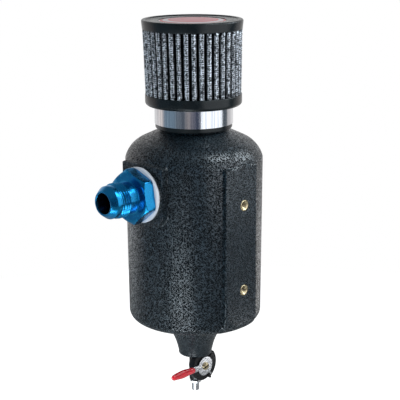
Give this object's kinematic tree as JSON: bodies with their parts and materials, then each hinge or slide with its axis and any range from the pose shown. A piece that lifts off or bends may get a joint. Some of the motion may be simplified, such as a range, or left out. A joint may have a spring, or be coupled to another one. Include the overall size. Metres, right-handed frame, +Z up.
{
  "type": "breather tank",
  "caption": "Round moulded breather tank with a clamped vent filter on its neck, a threaded hose fitting on its side, a flat mounting pad with threaded inserts and a lever drain valve below.",
  "frame": {"origin": "on the flat mounting face, midway between its two threaded inserts", "axes": "+Z up along the tank, -Y out of the mounting face towards what the tank is bolted to, -X along the hose fitting"},
  "size_m": [0.1488, 0.108, 0.306],
  "materials": {
    "tank_plastic": "pebble-grained moulded black",
    "brass": "machined brass",
    "bung_aluminium": "machined aluminium",
    "blue_anodised": "blue anodised",
    "white_nylon": "white nylon",
    "rubber": "moulded rubber",
    "filter_cloth": "cloth under fine wire mesh",
    "cap_disc": "glossy domed disc in white and red",
    "polished_steel": "polished",
    "clamp_steel": "plated steel",
    "black_metal": "black coated casting",
    "seat_plastic": "white seat plastic",
    "plated_steel": "bright plating",
    "red_vinyl": "dipped red vinyl"
  },
  "bodies": {
    "tank": {"tank_shell": "tank_plastic", "insert_upper": "brass", "insert_lower": "brass", "port_bung": "bung_aluminium", "inlet_fitting": "blue_anodised", "sealing_washer": "white_nylon", "filter_base": "rubber", "filter_pleats": "filter_cloth", "filter_top_cap": "rubber", "cap_disc": "cap_disc", "clamp_band": "polished_steel", "clamp_housing": "clamp_steel", "drain_bung": "brass", "valve_body": "black_metal", "seat_upper": "seat_plastic", "seat_lower": "seat_plastic", "stem_seal": "rubber", "packing_nut": "brass", "outlet_nipple": "plated_steel"},
    "lever": {"valve_ball": "polished_steel", "valve_stem": "brass", "lever_plate": "plated_steel", "lever_sleeve": "red_vinyl", "lever_screw": "brass"},
    "clamp_screw": {"clamp_screw": "clamp_steel"}
  },
  "joints": [
    {"name": "lever_turn", "type": "hinge", "parent": "tank", "child": "lever", "pos_m": [0, 0.054, -0.1104], "axis": [0, -1, 0], "range_deg": [0, 90]},
    {"name": "clamp_screw_turn", "type": "hinge", "parent": "tank", "child": "clamp_screw", "pos_m": [0.03384, 0.06119, 0.09836], "axis": [0.2079, -0.9781, 0], "continuous": true}
  ]
}
